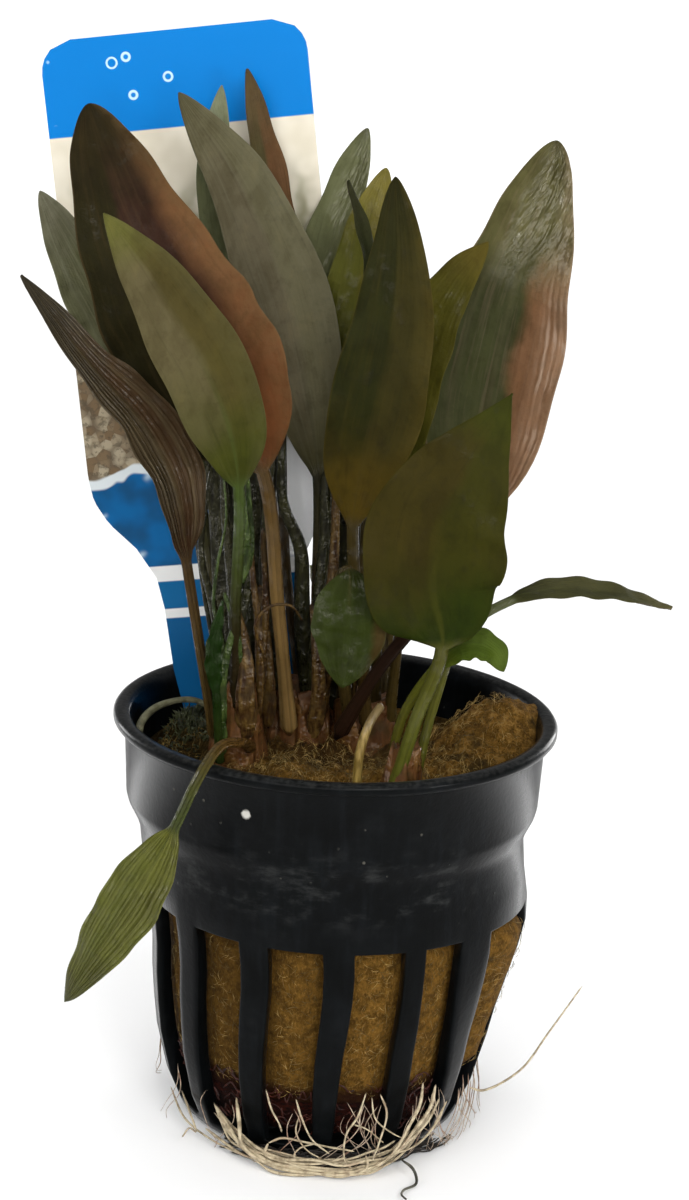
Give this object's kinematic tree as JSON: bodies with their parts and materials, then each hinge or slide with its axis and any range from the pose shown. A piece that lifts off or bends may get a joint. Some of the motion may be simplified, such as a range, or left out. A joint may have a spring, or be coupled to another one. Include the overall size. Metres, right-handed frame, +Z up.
{
  "type": "potted cryptocoryne petchii",
  "caption": "Potted aquarium water trumpet: stalked lance-shaped leaves rooted in a mineral wool plug, in a slotted black net pot with a blank plant tag behind the leaves.",
  "frame": {"origin": "centre of the net pot's flat base, on the surface that it stands on", "axes": "+Z up out of the pot; -Y is the side that faces the viewer; +X to the viewer's right; the plant tag stands at the back, towards +Y"},
  "size_m": [0.0806, 0.0732, 0.1344],
  "materials": {
    "black_plastic": "moulded polypropylene, wet, with scuffs",
    "mineral_wool": "wet felted mineral fibre",
    "leaf": "wet smooth leaf, olive to brown",
    "stalk_sheath": "wet brown sheaths",
    "pale_root": "wet pale root",
    "dark_root": "wet dark root",
    "printed_tag": "printed plastic card"
  },
  "bodies": {
    "root": {"basket_pot": "black_plastic", "plant_tag": "printed_tag", "rockwool_plug": "mineral_wool", "stalk_cut": "leaf", "root_tangle": "dark_root", "root_bundle": "pale_root", "root_long": "pale_root", "root_loose": "dark_root", "root_arch": "pale_root", "crown_left": "stalk_sheath", "crown_middle": "stalk_sheath", "crown_right": "stalk_sheath", "crown_front": "stalk_sheath", "leaf_tall_left": "leaf", "leaf_front_left": "leaf", "leaf_far_left": "leaf", "leaf_behind_left": "leaf", "leaf_tall_middle": "leaf", "leaf_high_brown": "leaf", "leaf_small_tip": "leaf", "leaf_glossy_middle": "leaf", "leaf_olive_middle": "leaf", "leaf_tall_right": "leaf", "leaf_thin_dark": "leaf", "leaf_olive_right": "leaf", "leaf_big_right": "leaf", "leaf_front_right": "leaf", "leaf_small_oval": "leaf", "leaf_thin_right": "leaf", "leaf_small_curl": "leaf", "leaf_hanging_left": "leaf", "leaf_young_green": "leaf", "leaf_back_right": "leaf", "leaf_back_tall": "leaf", "leaf_back_left": "leaf", "leaf_back_low": "leaf", "leaf_back_side": "leaf"}
  },
  "joints": []
}
